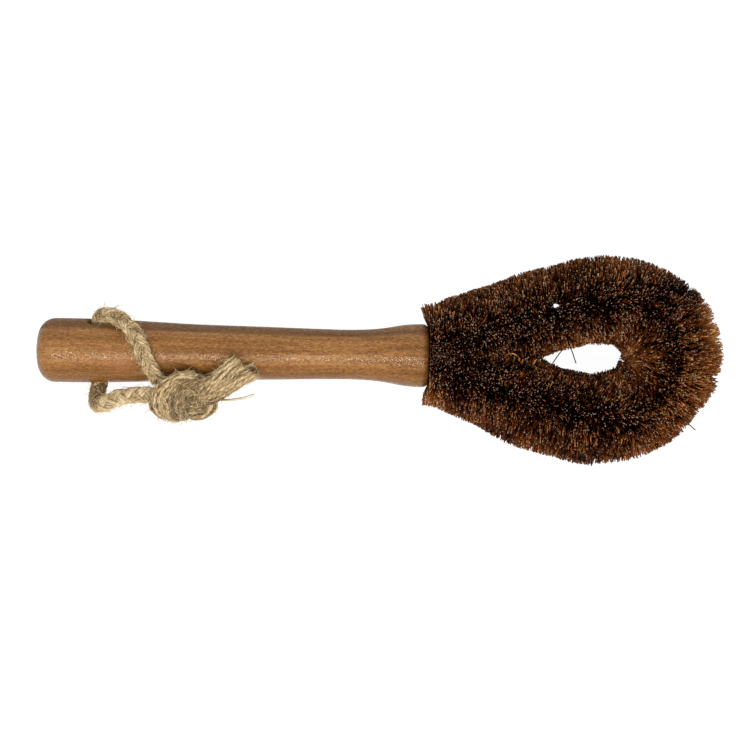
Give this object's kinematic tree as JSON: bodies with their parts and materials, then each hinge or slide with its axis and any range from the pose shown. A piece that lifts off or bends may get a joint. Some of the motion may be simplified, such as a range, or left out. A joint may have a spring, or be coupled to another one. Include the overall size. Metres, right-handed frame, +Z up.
{
  "type": "dish brush",
  "caption": "Dish brush with a turned wooden handle, a twisted-wire loop filled with palm-fibre bristles and a knotted jute hanging cord.",
  "frame": {"origin": "centre of the brush's footprint, without its hanging cord, on the surface that the bristles rest on", "axes": "+X from the handle's butt to the brush head, +Z up from the surface that the brush lies on, +Y to the left of +X"},
  "size_m": [0.2493, 0.0759, 0.037],
  "materials": {
    "wood": "satin-lacquered beech, grain along the handle",
    "wire": "galvanised, drawn wire",
    "fibre": "stiff reddish-brown palm fibre, slightly glossy at the tips",
    "cord": "plaited natural jute, matt and hairy"
  },
  "bodies": {
    "root": {"handle": "wood", "stem_wire_a": "wire", "stem_wire_b": "wire", "fibre_left_1": "fibre", "fibre_left_2": "fibre", "fibre_left_3": "fibre", "fibre_left_4": "fibre", "fibre_left_5": "fibre", "fibre_left_6": "fibre", "fibre_left_7": "fibre", "fibre_left_8": "fibre", "fibre_left_9": "fibre", "fibre_right_1": "fibre", "fibre_right_2": "fibre", "fibre_right_3": "fibre", "fibre_right_4": "fibre", "fibre_right_5": "fibre", "fibre_right_6": "fibre", "fibre_right_7": "fibre", "fibre_right_8": "fibre", "fibre_right_9": "fibre", "cord_lower_leg": "cord", "cord_in_handle": "cord", "cord_upper_leg": "cord", "cord_knot": "cord", "cord_upper_tail": "cord", "cord_lower_tail": "cord"}
  },
  "joints": []
}
